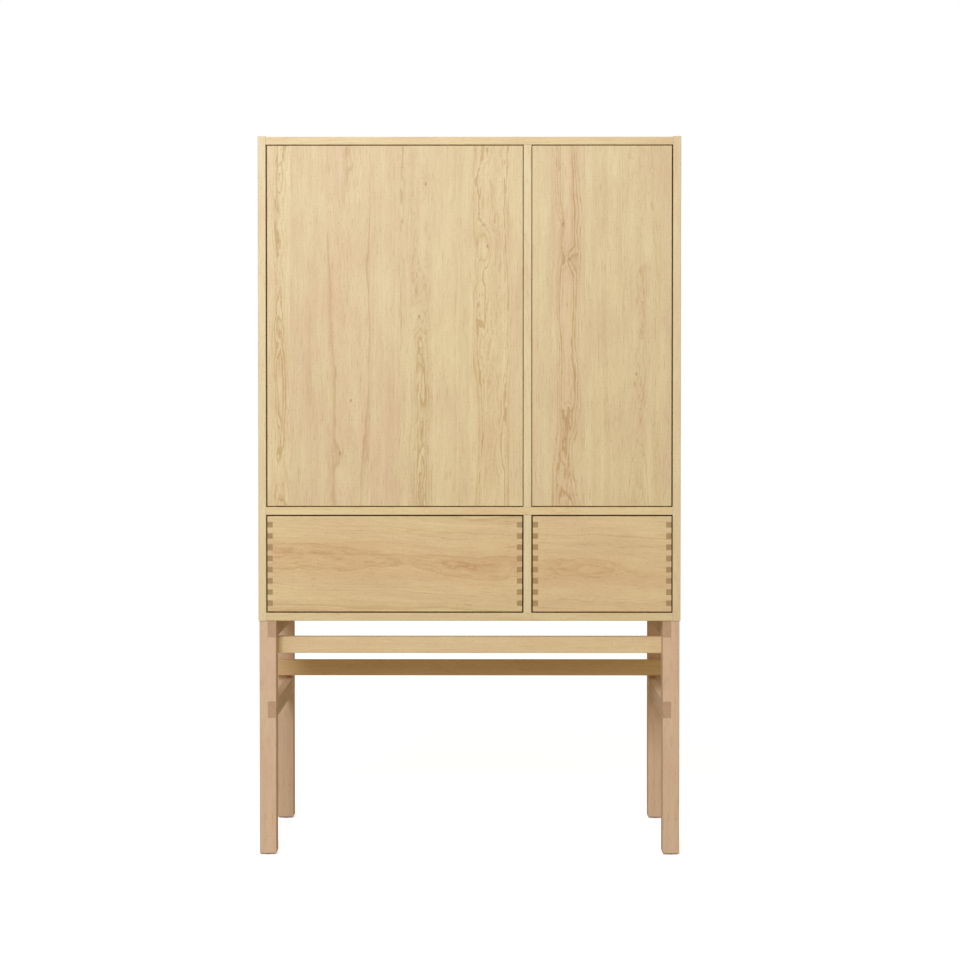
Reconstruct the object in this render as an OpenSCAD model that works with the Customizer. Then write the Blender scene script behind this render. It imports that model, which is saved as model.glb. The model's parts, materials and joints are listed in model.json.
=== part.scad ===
// Armoire on a stand: a square oak case with two flush doors over two finger-jointed drawers,
// carried by four legs, half-lapped side rails and two cross stretchers.
// Units are millimetres. +Z is up, the fronts face -Y, and the origin is at the
// centre of the footprint on the floor.

/* [Overall] */
// Width of the case
overall_w = 960; // [900:10:1100]
// Depth of the case
overall_d = 400; // [380:5:460]
// Height of the stand, floor to the underside of the case
stand_h = 535; // [450:5:700]
// Height of the case on its own
case_h = 1100; // [950:10:1300]

/* [Case] */
// Thickness of the case boards
board_t = 18; // [18:1:22]
// Step from the top of the sides down to the top panel
top_reveal = 1.5; // [0.5:0.5:3]
// Clear width behind the large door
large_opening_w = 585; // [500:5:620]
// Clear height behind the drawer fronts
drawer_opening_h = 223; // [180:1:260]
// Gap all round each drawer front and at each door's hinged edge
front_gap = 3; // [2.5:0.5:4]
// Gap between a door's free edge and the divider
free_edge_gap = 1.5; // [1.5:0.5:3]
// Gap above and below each door
door_end_gap = 2; // [2:0.5:3]
// Bevel that eases the visible edges of the boards
edge_ease = 1; // [0.5:0.25:1.5]
// Thickness of the back panel
back_t = 6; // [4:1:8]
// Width of the rebate that the back panel lies in
back_lap = 9; // [8:1:10]

/* [Stand] */
// Side of the square legs
leg_w = 38; // [36:1:45]
// Distance that the legs stand in from the case faces
leg_inset = 2; // [1:1:10]
// Height of every rail and stretcher
rail_h = 38; // [34:1:42]
// Thickness of the stretchers
stretcher_t = 20; // [18:1:24]
// Drop from the case to the top of the front stretcher
front_stretcher_drop = 41; // [40:1:60]
// Drop from the case to the top of the rear stretcher
rear_stretcher_drop = 138; // [100:1:138]
// Drop from the case to the top of the lower side rails
lower_rail_drop = 184; // [182:1:260]
// Bevel round the foot of each leg
foot_bevel = 3; // [1:0.5:5]
// Thickness of the glides under the legs
glide_t = 2; // [1.5:0.5:4]

/* [Doors] */
// Thickness of the door panels
door_t = 20; // [18:1:22]
// Distance from a door's hinged edge to its pivot
pivot_from_edge = 14; // [12:1:18]
// Distance from a door's face to its pivot
pivot_from_face = 7; // [6:0.5:7.5]
// Diameter of the pivot pins
pin_d = 5; // [4:0.5:6]

/* [Drawers] */
// Thickness of the drawer fronts
drawer_front_t = 18; // [16:1:20]
// Thickness of the drawer sides and backs
drawer_side_t = 12; // [11:0.5:14]
// Length of the drawers, front face to back
drawer_l = 350; // [340:5:360]
// Number of fingers over the height of a corner
finger_count = 17; // [13:2:21]
// Height of the drawer bottom above the lower edge of the sides
bottom_rise = 14; // [14:1:18]
// Length of the runners
runner_l = 330; // [320:5:335]

/* [Shelves] */
// Thickness of the shelves
shelf_t = 18; // [16:1:20]
// Distance of the shelves behind the door line
shelf_setback = 44; // [40:1:80]
// Pitch of the shelf pin holes
pin_hole_pitch = 32; // [25:1:40]

/* [Hidden] */

$fn = 48;
cut = 0.5; // how far a cutting shape runs past the face that it opens

// Colours
beech_dowel = "#C8A878";
oak_light = "#E2CCA5";
oak_drawer = "#D5B98C";
oak_leg = "#D0AE8C";
oak_stretcher = "#C9A678";
ply_birch = "#DCC9A2";
steel_zinc = "#B9BCC0";
brass_satin = "#B79A5B";
nylon_white = "#E8E6DF";
plastic_grey = "#8E8F90";

// Case planes
half_w = overall_w / 2;
half_d = overall_d / 2;
front_y = -half_d;
inner_x = half_w - board_t;
bottom_z = stand_h;
floor_z = bottom_z + board_t;
middle_z = floor_z + drawer_opening_h;
shelf_zone_z = middle_z + board_t;
ceiling_z = bottom_z + case_h - top_reveal - board_t;
divider_x = -inner_x + large_opening_w;
small_opening_w = 2 * inner_x - large_opening_w - board_t;
back_recess = 2;
back_y = half_d - back_recess - back_t;
back_screw_d = 3;
back_screw_l = 16;
back_screw_xs = [-400, -200, 0, 250, 400];
back_screw_rises = [110, 370, 630, 890];

// Stand
leg_out_x = half_w - leg_inset;
leg_in_x = leg_out_x - leg_w;
leg_front_y = front_y + leg_inset;
lap = leg_w / 2;
rail_l = overall_d - 2 * leg_inset;
upper_rail_z = stand_h - rail_h;
lower_rail_z = stand_h - lower_rail_drop - rail_h;
front_stretcher_z = stand_h - front_stretcher_drop - rail_h;
rear_stretcher_z = stand_h - rear_stretcher_drop - rail_h;
fixing_ys = [-110, 0, 110];
fixing_x = leg_in_x + lap / 2;
fixing_counterbore = 8;
fixing_counterbore_d = 10.5;
fixing_screw_d = 5;
fixing_screw_l = 45;
glide_d = 22;
glide_nail_d = 3;
glide_nail_l = 16;

// Dowels
dowel_d = 8;
dowel_l = 30;
dowel_ys = [-150, -50, 50, 150];
dowel_from_edge = 10;
dowel_in_side = 11;
dowel_in_panel = 8;

// Doors and their pivots
door_z = shelf_zone_z + door_end_gap;
door_h = ceiling_z - shelf_zone_z - 2 * door_end_gap;
door_back_y = front_y + door_t;
large_door_x = -inner_x + front_gap;
large_door_w = large_opening_w - front_gap - free_edge_gap;
small_door_w = small_opening_w - front_gap - free_edge_gap;
small_door_x = inner_x - front_gap - small_door_w;
pivot_x = inner_x - front_gap - pivot_from_edge;
pivot_y = front_y + pivot_from_face;
plate_l = 38;
plate_w = 11;
plate_t = 2.5;
plate_tail = 9;
plate_screw_offsets = [12, 23];
hinge_screw_d = 3;
short_screw_l = 14;
pivot_clearance = 0.05;
pin_end_play = 0.2;
washer_play = 0.3;

// Latches
latch_from_divider = 30;
large_latch_x = divider_x - latch_from_divider;
small_latch_x = divider_x + board_t + latch_from_divider;
latch_door_gap = 4;
latch_body_y = door_back_y + latch_door_gap;
latch_l = 66;
latch_w = 12;
latch_h = 18;
latch_axis_drop = 12;
latch_z = ceiling_z - latch_axis_drop;
latch_ease = 2;
plunger_d = 8;
plunger_l = 44;
plunger_dome = 1.2;
plunger_play = 0.1;
bore_l = 54;
latch_flange = [32, 24, 2.5];
latch_flange_y = 20;
strike_t = 1.2;
strike_d = 16;
strike_screw_d = 2;
strike_screw_l = 12;
strike_clearance = 0.3;
latch_screw_x = 11;
latch_screw_y = latch_flange_y + latch_flange[1] / 2;

// Drawers
large_drawer_x = -inner_x + front_gap;
large_drawer_w = large_opening_w - 2 * front_gap;
small_drawer_w = small_opening_w - 2 * front_gap;
small_drawer_x = inner_x - front_gap - small_drawer_w;
drawer_z = floor_z + front_gap;
drawer_h = drawer_opening_h - 2 * front_gap;
finger_h = drawer_h / finger_count;
groove_depth = 6;
drawer_bottom_t = 6;
drawer_bottom_z = drawer_z + bottom_rise;

// Runners, in a cross-section centred on the runner
sheet_t = 1.5;
runner_setback = 2;
runner_y = front_y + drawer_front_t + runner_setback;
case_rail_half = 17;
runner_side_gap = 2;
runner_from_side = drawer_side_t + runner_side_gap + case_rail_half;
case_rail_h = 11;
rail_play = 0.6;
mid_rail_half = case_rail_half - sheet_t - rail_play;
mid_rail_z = sheet_t + rail_play;
mid_rail_h = 10;
drawer_rail_half = mid_rail_half - sheet_t - rail_play;
drawer_rail_z = mid_rail_z + sheet_t + rail_play;
drawer_rail_h = drawer_bottom_z - floor_z - drawer_rail_z;
runner_screw_d = 2.7;
runner_screw_places_y = [35, 160, 285];
clip_size = [20, 36, 11];
clip_tab_d = 12;
clip_tab_h = 3;
clip_ease = 1.5;
runner_notch_play = 3;
clip_gap = 1;

// Shelves
shelf_play = 1;
shelf_y = front_y + shelf_setback;
shelf_d = back_y - shelf_play - shelf_y;
lower_shelf_rise = 262;
upper_shelf_rise = 524;
lower_shelf_z = shelf_zone_z + lower_shelf_rise;
upper_shelf_z = shelf_zone_z + upper_shelf_rise;
shelf_pin_d = 5;
shelf_pin_in = 8;
shelf_pin_out = 8;
shelf_pin_from_front = 90;
shelf_pin_from_back = 60;
shelf_pin_ys = [front_y + shelf_pin_from_front, back_y - shelf_pin_from_back];
pin_hole_steps = [-2, -1, 0, 1, 2];

// ---------------------------------------------------------------- helpers

// Rectangle with all four corners bevelled
module eased_rect(w, d, c) {
    polygon([[c, 0], [w - c, 0], [w, c], [w, d - c], [w - c, d], [c, d], [0, d - c], [0, c]]);
}

// Rectangle with only the two corners at its lower edge bevelled
module front_eased_rect(w, d, c) {
    polygon([[c, 0], [w - c, 0], [w, c], [w, d], [0, d], [0, c]]);
}

// Bar along Z, bevelled along its length
module bar_z(size, c) {
    linear_extrude(size[2]) eased_rect(size[0], size[1], c);
}

// Bar along X, bevelled along its length
module bar_x(size, c) {
    rotate([90, 0, 90]) linear_extrude(size[0]) eased_rect(size[1], size[2], c);
}

// Bar along Y, bevelled along its length
module bar_y(size, c) {
    translate([0, size[1], 0])
        rotate([90, 0, 0]) linear_extrude(size[1]) eased_rect(size[0], size[2], c);
}

// Flat board standing on edge in the XZ plane, bevelled on every edge
module eased_board(size, c) {
    intersection() {
        bar_z(size, c);
        bar_x(size, c);
        bar_y(size, c);
    }
}

// Board lying flat along X with its front edges bevelled
module flat_board(size) {
    rotate([90, 0, 90]) linear_extrude(size[0])
        polygon([
            [edge_ease, 0], [size[1], 0], [size[1], size[2]],
            [edge_ease, size[2]], [0, size[2] - edge_ease], [0, edge_ease]
        ]);
}

// Children as drawn and mirrored to the other side of the case
module both_sides() {
    children();
    mirror([1, 0, 0]) children();
}

// Countersunk wood screw with a cross recess, head up at z = 0, shank down
module wood_screw(d, l) {
    head_r = d;
    head_h = 0.55 * d;
    difference() {
        union() {
            translate([0, 0, -head_h]) cylinder(r1 = d / 2, r2 = head_r, h = head_h);
            translate([0, 0, -l + d]) cylinder(d = d, h = l - d - head_h);
            translate([0, 0, -l]) cylinder(r1 = 0.2, r2 = d / 2, h = d);
        }
        for (a = [0, 90]) rotate([0, 0, a])
            translate([-0.65 * head_r, -0.12 * head_r, -0.5 * head_h])
                cube([1.3 * head_r, 0.24 * head_r, head_h]);
    }
}

// Shape that a countersunk screw of diameter d leaves in a plate
module countersink(d, depth) {
    head_h = 0.55 * d;
    translate([0, 0, -head_h]) cylinder(r1 = d / 2, r2 = d, h = head_h);
    translate([0, 0, -depth]) cylinder(d = d, h = depth);
    cylinder(r = d, h = cut);
}

// ---------------------------------------------------------------- dowels

// Dowels that join a flat panel centred at height z to both sides of the case
module side_dowels(z) {
    both_sides() for (y = dowel_ys)
        translate([inner_x + dowel_in_side - dowel_l, y, z])
            rotate([0, 90, 0]) cylinder(d = dowel_d, h = dowel_l);
}

// Dowels that join a divider's end to the panel below it (up = 1) or above it (up = -1)
module divider_dowels(z, up) {
    low = (up > 0) ? z - dowel_in_panel : z + dowel_in_panel - dowel_l;
    for (y = dowel_ys) translate([divider_x + board_t / 2, y, low])
        cylinder(d = dowel_d, h = dowel_l);
}

// Dowels that join a stretcher to the legs it lies against, at plane y
module stretcher_dowels(y, z) {
    both_sides() for (dz = [dowel_from_edge, rail_h - dowel_from_edge])
        translate([leg_out_x - lap, y + dowel_l / 2, z + dz])
            rotate([90, 0, 0]) cylinder(d = dowel_d, h = dowel_l);
}

module front_stretcher_dowels() stretcher_dowels(leg_front_y + leg_w, front_stretcher_z);
module rear_stretcher_dowels() stretcher_dowels(-leg_front_y - leg_w, rear_stretcher_z);
module bottom_panel_dowels() side_dowels(bottom_z + board_t / 2);
module middle_panel_dowels() side_dowels(middle_z + board_t / 2);
module top_panel_dowels() side_dowels(ceiling_z + board_t / 2);

module joint_dowels() {
    color(beech_dowel) {
        front_stretcher_dowels();
        rear_stretcher_dowels();
        bottom_panel_dowels();
        middle_panel_dowels();
        top_panel_dowels();
        divider_dowels(floor_z, 1);
        divider_dowels(middle_z, -1);
        divider_dowels(shelf_zone_z, 1);
        divider_dowels(ceiling_z, -1);
    }
}

// ---------------------------------------------------------------- stand

// Nail-on glide under one leg
module glide() {
    cylinder(d = glide_d, h = glide_t);
    translate([0, 0, glide_t]) cylinder(d = glide_nail_d, h = glide_nail_l);
}

module glide_places() {
    for (sx = [-1, 1]) for (sy = [-1, 1])
        translate([sx * (leg_out_x - lap), sy * (half_d - leg_inset - lap), 0]) children();
}

// Half-lap notch in the inner half of a leg, for a side rail whose underside is at z
module lap_notch(z, h) {
    translate([leg_in_x - cut, -cut, z]) cube([lap + cut, leg_w + 2 * cut, h]);
}

// Leg on the +X side with its outer corner at the front, before its dowel holes
module leg_blank() {
    difference() {
        intersection() {
            translate([leg_in_x, 0, glide_t]) bar_z([leg_w, leg_w, stand_h - glide_t], edge_ease);
            translate([leg_in_x, 0, glide_t])
                bar_x([leg_w, leg_w, stand_h - glide_t + foot_bevel], foot_bevel);
            translate([leg_in_x, 0, glide_t])
                bar_y([leg_w, leg_w, stand_h - glide_t + foot_bevel], foot_bevel);
        }
        lap_notch(upper_rail_z, rail_h + cut);
        lap_notch(lower_rail_z, rail_h);
    }
}

module right_front_leg() {
    translate([0, leg_front_y, 0]) leg_blank();
}

module right_rear_leg() {
    translate([0, -leg_front_y, 0]) mirror([0, 1, 0]) leg_blank();
}

module front_leg_left() {
    color(oak_leg) difference() {
        mirror([1, 0, 0]) right_front_leg();
        front_stretcher_dowels();
        glide_places() glide();
    }
}

module front_leg_right() {
    color(oak_leg) difference() {
        right_front_leg();
        front_stretcher_dowels();
        glide_places() glide();
    }
}

module rear_leg_left() {
    color(oak_leg) difference() {
        mirror([1, 0, 0]) right_rear_leg();
        rear_stretcher_dowels();
        glide_places() glide();
    }
}

module rear_leg_right() {
    color(oak_leg) difference() {
        right_rear_leg();
        rear_stretcher_dowels();
        glide_places() glide();
    }
}

// Side rail on the +X side, let into the inner halves of both legs
module side_rail(z) {
    translate([leg_in_x, leg_front_y, z]) cube([lap, rail_l, rail_h]);
}

// Holes in an upper rail for the screws that hold the case
module fixing_holes() {
    both_sides() for (y = fixing_ys) translate([fixing_x, y, upper_rail_z]) {
        translate([0, 0, -cut]) cylinder(d = fixing_counterbore_d, h = fixing_counterbore + cut);
        translate([0, 0, fixing_counterbore]) rotate([180, 0, 0]) countersink(fixing_screw_d, rail_h);
    }
}

module upper_side_rail_left() {
    color(oak_leg) difference() {
        mirror([1, 0, 0]) side_rail(upper_rail_z);
        fixing_holes();
    }
}

module upper_side_rail_right() {
    color(oak_leg) difference() {
        side_rail(upper_rail_z);
        fixing_holes();
    }
}

module lower_side_rail_left() {
    color(oak_leg) mirror([1, 0, 0]) side_rail(lower_rail_z);
}

module lower_side_rail_right() {
    color(oak_leg) side_rail(lower_rail_z);
}

module front_stretcher() {
    color(oak_stretcher) difference() {
        translate([-leg_out_x, leg_front_y + leg_w, front_stretcher_z])
            bar_x([2 * leg_out_x, stretcher_t, rail_h], edge_ease);
        front_stretcher_dowels();
    }
}

module rear_stretcher() {
    color(oak_stretcher) difference() {
        translate([-leg_out_x, -leg_front_y - leg_w - stretcher_t, rear_stretcher_z])
            bar_x([2 * leg_out_x, stretcher_t, rail_h], edge_ease);
        rear_stretcher_dowels();
    }
}

module leg_glides() {
    color(nylon_white) glide_places() glide();
}

module stand_fixing_screws() {
    color(steel_zinc) both_sides() for (y = fixing_ys)
        translate([fixing_x, y, upper_rail_z + fixing_counterbore])
            rotate([180, 0, 0]) wood_screw(fixing_screw_d, fixing_screw_l);
}

// ---------------------------------------------------------------- case

// Space that the back panel takes, with the shallow recess behind it
module back_rebate() {
    translate([-inner_x - back_lap, back_y, floor_z - back_lap])
        cube([2 * (inner_x + back_lap), half_d - back_y + cut, ceiling_z - floor_z + 2 * back_lap]);
}

// Places of the shelf pins or their holes, in the faces on both sides of one opening
module pin_places(x_low, x_high, steps) {
    for (z = [lower_shelf_z, upper_shelf_z]) for (s = steps) for (y = shelf_pin_ys)
        translate([0, y, z - shelf_pin_d / 2 + s * pin_hole_pitch]) {
            translate([x_low, 0, 0]) rotate([0, 90, 0]) children();
            translate([x_high, 0, 0]) rotate([0, -90, 0]) children();
        }
}

module all_pin_places(steps) {
    pin_places(-inner_x, divider_x, steps) children();
    pin_places(divider_x + board_t, inner_x, steps) children();
}

// Rows of holes for the shelf pins
module pin_holes() {
    all_pin_places(pin_hole_steps)
        translate([0, 0, -shelf_pin_in]) cylinder(d = shelf_pin_d, h = shelf_pin_in + cut);
}

// Side board on the +X side, before its pin holes
module side_board() {
    difference() {
        translate([inner_x, front_y, bottom_z])
            linear_extrude(case_h) front_eased_rect(board_t, overall_d, edge_ease);
        back_rebate();
        bottom_panel_dowels();
        middle_panel_dowels();
        top_panel_dowels();
    }
}

module side_panel_left() {
    color(oak_light) difference() {
        mirror([1, 0, 0]) side_board();
        pin_holes();
    }
}

module side_panel_right() {
    color(oak_light) difference() {
        side_board();
        pin_holes();
    }
}

// Full-width board between the sides
module cross_board(z, depth) {
    translate([-inner_x, front_y, z]) flat_board([2 * inner_x, depth, board_t]);
}

module top_panel() {
    color(oak_light) difference() {
        cross_board(ceiling_z, overall_d);
        back_rebate();
        top_panel_dowels();
        divider_dowels(ceiling_z, -1);
        hinge_recesses(ceiling_z, 1);
    }
}

module bottom_panel() {
    color(oak_light) difference() {
        cross_board(bottom_z, overall_d);
        back_rebate();
        bottom_panel_dowels();
        divider_dowels(floor_z, 1);
    }
}

module middle_panel() {
    color(oak_light) difference() {
        cross_board(middle_z, back_y - front_y);
        middle_panel_dowels();
        divider_dowels(middle_z, -1);
        divider_dowels(shelf_zone_z, 1);
        hinge_recesses(shelf_zone_z, -1);
    }
}

// Upright board between two openings
module divider_board(z, h) {
    translate([divider_x, front_y, z])
        linear_extrude(h) front_eased_rect(board_t, back_y - front_y, edge_ease);
}

module upper_divider() {
    color(oak_light) difference() {
        divider_board(shelf_zone_z, ceiling_z - shelf_zone_z);
        divider_dowels(shelf_zone_z, 1);
        divider_dowels(ceiling_z, -1);
        pin_holes();
    }
}

module lower_divider() {
    color(oak_light) difference() {
        divider_board(floor_z, drawer_opening_h);
        divider_dowels(floor_z, 1);
        divider_dowels(middle_z, -1);
    }
}

module back_panel() {
    color(ply_birch) difference() {
        translate([-inner_x - back_lap, back_y, floor_z - back_lap])
            cube([2 * (inner_x + back_lap), back_t, ceiling_z - floor_z + 2 * back_lap]);
        back_screw_places() countersink(back_screw_d, back_t + cut);
    }
}

// Screws round the edge of the back panel and along the boards behind it
module back_screw_places() {
    edge = back_lap / 2;
    rows = [floor_z - edge, middle_z + board_t / 2, ceiling_z + edge];
    columns = [-inner_x - edge, divider_x + board_t / 2, inner_x + edge];
    for (z = rows) for (x = back_screw_xs)
        translate([x, back_y + back_t, z]) rotate([-90, 0, 0]) children();
    for (x = columns) for (rise = back_screw_rises)
        translate([x, back_y + back_t, floor_z + rise]) rotate([-90, 0, 0]) children();
}

module back_panel_screws() {
    color(steel_zinc) back_screw_places() wood_screw(back_screw_d, back_screw_l);
}

// ---------------------------------------------------------------- shelves

// Loose shelf between two faces, with a bevelled front edge
module shelf(x_low, width, z) {
    color(oak_light) translate([x_low + shelf_play, shelf_y, z])
        flat_board([width - 2 * shelf_play, shelf_d, shelf_t]);
}

module large_shelf_lower() shelf(-inner_x, large_opening_w, lower_shelf_z);
module large_shelf_upper() shelf(-inner_x, large_opening_w, upper_shelf_z);
module small_shelf_lower() shelf(divider_x + board_t, small_opening_w, lower_shelf_z);
module small_shelf_upper() shelf(divider_x + board_t, small_opening_w, upper_shelf_z);

module shelf_pins() {
    color(brass_satin) all_pin_places([0])
        translate([0, 0, -shelf_pin_in]) cylinder(d = shelf_pin_d, h = shelf_pin_in + shelf_pin_out);
}

// ---------------------------------------------------------------- pivot hinges

// Children at the pivot of the large door, of the small door, or of both
module at_large_pivot() translate([-pivot_x, pivot_y, 0]) children();
module at_small_pivot() translate([pivot_x, pivot_y, 0]) mirror([1, 0, 0]) children();

module pivot_places() {
    at_large_pivot() children();
    at_small_pivot() children();
}

// Plan of a hinge plate, its long end pointing +X from the pivot
module plate_plan() {
    translate([-plate_tail, -plate_w / 2]) square([plate_l, plate_w]);
}

// Hinge plate let into a face at height z; up = 1 lies above the face, -1 below it
module hinge_plate(z, up) {
    translate([0, 0, (up > 0) ? z : z - plate_t]) difference() {
        linear_extrude(plate_t) plate_plan();
        for (x = plate_screw_offsets) translate([x, 0, (up > 0) ? 0 : plate_t])
            rotate([(up > 0) ? 180 : 0, 0, 0]) countersink(hinge_screw_d, plate_t + cut);
    }
}

// Countersunk screws of one hinge plate
module hinge_screws(z, up) {
    for (x = plate_screw_offsets) translate([x, 0, z])
        rotate([(up > 0) ? 180 : 0, 0, 0]) wood_screw(hinge_screw_d, short_screw_l);
}

// Recesses in the case for both doors' hinge plates
module hinge_recesses(z, up) {
    pivot_places() translate([0, 0, (up > 0) ? z - cut : z - plate_t])
        linear_extrude(plate_t + cut) plate_plan();
}

module case_hinge_plates() {
    color(brass_satin) pivot_places() for (end = [[ceiling_z, 1], [shelf_zone_z, -1]])
        difference() {
            hinge_plate(end[0], end[1]);
            translate([0, 0, end[0] - plate_t - cut])
                cylinder(r = pin_d / 2 + pivot_clearance, h = 2 * (plate_t + cut));
        }
}

module case_hinge_screws() {
    color(brass_satin) pivot_places() {
        hinge_screws(ceiling_z, 1);
        hinge_screws(shelf_zone_z, -1);
    }
}

module hinge_washers() {
    color(nylon_white) pivot_places()
        for (z = [shelf_zone_z + washer_play, door_z + door_h + washer_play])
        translate([0, 0, z]) difference() {
            cylinder(d = 2 * pin_d, h = door_end_gap - 2 * washer_play);
            translate([0, 0, -cut])
                cylinder(r = pin_d / 2 + pivot_clearance, h = door_end_gap + 2 * cut);
        }
}

// Recesses in a door's ends, drawn with the pivot at the origin of X and Y
module door_recesses() {
    translate([0, 0, door_z - cut]) linear_extrude(plate_t + cut) plate_plan();
    translate([0, 0, door_z + door_h - plate_t]) linear_extrude(plate_t + cut) plate_plan();
}

// A door's two plates with their pins, drawn with the pivot at the origin of X and Y
module door_plates() {
    pin_l = plate_t + door_end_gap + plate_t - pin_end_play;
    hinge_plate(door_z + door_h, -1);
    translate([0, 0, door_z + door_h - plate_t]) cylinder(d = pin_d, h = pin_l);
    hinge_plate(door_z, 1);
    translate([0, 0, door_z + plate_t - pin_l]) cylinder(d = pin_d, h = pin_l);
}

module door_plate_screws() {
    hinge_screws(door_z + door_h, -1);
    hinge_screws(door_z, 1);
}

// ---------------------------------------------------------------- doors

module large_door_panel() {
    color(oak_light) difference() {
        translate([large_door_x, front_y, door_z])
            eased_board([large_door_w, door_t, door_h], edge_ease);
        at_large_pivot() door_recesses();
    }
}

module small_door_panel() {
    color(oak_light) difference() {
        translate([small_door_x, front_y, door_z])
            eased_board([small_door_w, door_t, door_h], edge_ease);
        at_small_pivot() door_recesses();
    }
}

module large_door_hinge_plates() {
    color(brass_satin) at_large_pivot() door_plates();
}

module small_door_hinge_plates() {
    color(brass_satin) at_small_pivot() door_plates();
}

module large_door_screws() {
    color(brass_satin) at_large_pivot() door_plate_screws();
    color(steel_zinc) strike_screw(large_latch_x);
}

module small_door_screws() {
    color(brass_satin) at_small_pivot() door_plate_screws();
    color(steel_zinc) strike_screw(small_latch_x);
}

// ---------------------------------------------------------------- touch latches

// Latch housing under the top panel, with a bore for the plunger
module latch_body(x) {
    difference() {
        union() {
            translate([x - latch_w / 2, latch_body_y, ceiling_z - latch_h])
                bar_y([latch_w, latch_l, latch_h], latch_ease);
            translate([x - latch_flange[0] / 2, latch_body_y + latch_flange_y, ceiling_z - latch_flange[2]])
                cube(latch_flange);
        }
        translate([x, latch_body_y - cut, latch_z])
            rotate([-90, 0, 0]) cylinder(r = plunger_d / 2 + plunger_play, h = bore_l + cut);
        latch_screw_places(x) countersink(hinge_screw_d, latch_flange[2] + cut);
    }
}

module latch_screw_places(x) {
    for (side = [-1, 1])
        translate([x + side * latch_screw_x, latch_body_y + latch_screw_y, ceiling_z - latch_flange[2]])
            rotate([180, 0, 0]) children();
}

// Round plunger with a domed soft tip
module latch_plunger(x) {
    tip_y = door_back_y + strike_t + strike_clearance;
    color(nylon_white) translate([x, tip_y, latch_z]) rotate([-90, 0, 0])
        rotate_extrude() polygon([
            [0, 0], [plunger_d / 2 - plunger_dome, 0], [plunger_d / 2, plunger_dome],
            [plunger_d / 2, plunger_l], [0, plunger_l]
        ]);
}

// Steel disc on the back of a door that the plunger meets
module strike_plate(x) {
    color(steel_zinc) difference() {
        translate([x, door_back_y, latch_z]) rotate([-90, 0, 0]) cylinder(d = strike_d, h = strike_t);
        translate([x, door_back_y + strike_t, latch_z]) rotate([-90, 0, 0])
            countersink(strike_screw_d, strike_t + cut);
    }
}

module strike_screw(x) {
    translate([x, door_back_y + strike_t, latch_z]) rotate([-90, 0, 0])
        wood_screw(strike_screw_d, strike_screw_l);
}

module latch_bodies() {
    color(plastic_grey) for (x = [large_latch_x, small_latch_x]) latch_body(x);
}

module large_door_latch_plunger() latch_plunger(large_latch_x);
module small_door_latch_plunger() latch_plunger(small_latch_x);
module large_door_strike_plate() strike_plate(large_latch_x);
module small_door_strike_plate() strike_plate(small_latch_x);

module latch_screws() {
    color(steel_zinc) for (x = [large_latch_x, small_latch_x])
        latch_screw_places(x) wood_screw(hinge_screw_d, short_screw_l);
}

// ---------------------------------------------------------------- drawers

// Notches between the fingers of a corner, at every second place from the first given
module finger_gaps(size, first) {
    for (i = [first : 2 : finger_count - 1]) {
        below = i == 0 ? cut : 0;
        above = i == finger_count - 1 ? cut : 0;
        translate([0, 0, drawer_z + i * finger_h - below])
            cube([size[0], size[1], finger_h + below + above]);
    }
}

// Drawer bottom, let into grooves in the four boards round it
module bottom_board(x, w) {
    inset = drawer_side_t - groove_depth;
    translate([x + inset, front_y + drawer_front_t - groove_depth, drawer_bottom_z])
        cube([w - 2 * inset, drawer_l - drawer_front_t + 2 * groove_depth - drawer_side_t,
            drawer_bottom_t]);
}

// Front board with a through finger joint at each end
module drawer_front(x, w) {
    color(oak_drawer) difference() {
        translate([x, front_y, drawer_z]) rotate([90, 0, 90]) linear_extrude(w)
            polygon([
                [edge_ease, 0], [drawer_front_t, 0], [drawer_front_t, drawer_h],
                [edge_ease, drawer_h], [0, drawer_h - edge_ease], [0, edge_ease]
            ]);
        for (end_x = [x - cut, x + w - drawer_side_t])
            translate([end_x, front_y - cut, 0])
                finger_gaps([drawer_side_t + cut, drawer_front_t + 2 * cut], 1);
        bottom_board(x, w);
    }
}

// Side board, its outer face at x or, for the right side, at x + drawer_side_t
module drawer_side(x, drawer_x, w) {
    color(oak_drawer) difference() {
        translate([x, front_y, drawer_z]) cube([drawer_side_t, drawer_l, drawer_h]);
        translate([x - cut, front_y - cut, 0])
            finger_gaps([drawer_side_t + 2 * cut, drawer_front_t + cut], 0);
        translate([x - cut, front_y + drawer_l - drawer_side_t, 0])
            finger_gaps([drawer_side_t + 2 * cut, drawer_side_t + cut], 2);
        bottom_board(drawer_x, w);
    }
}

// Back board with a through finger joint at each end and notches that clear the runners
module drawer_back(x, w) {
    y = front_y + drawer_l - drawer_side_t;
    notch_w = runner_from_side + case_rail_half + runner_notch_play;
    color(oak_drawer) difference() {
        translate([x, y, drawer_z]) cube([w, drawer_side_t, drawer_h]);
        for (end_x = [x - cut, x + w - drawer_side_t])
            translate([end_x, y - cut, 0])
                finger_gaps([drawer_side_t + cut, drawer_side_t + 2 * cut], 1);
        for (notch_x = [x - cut, x + w - notch_w])
            translate([notch_x, y - cut, drawer_z - cut])
                cube([notch_w + cut, drawer_side_t + 2 * cut, bottom_rise + cut]);
        bottom_board(x, w);
    }
}

module drawer_bottom(x, w) {
    color(ply_birch) bottom_board(x, w);
}

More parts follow.
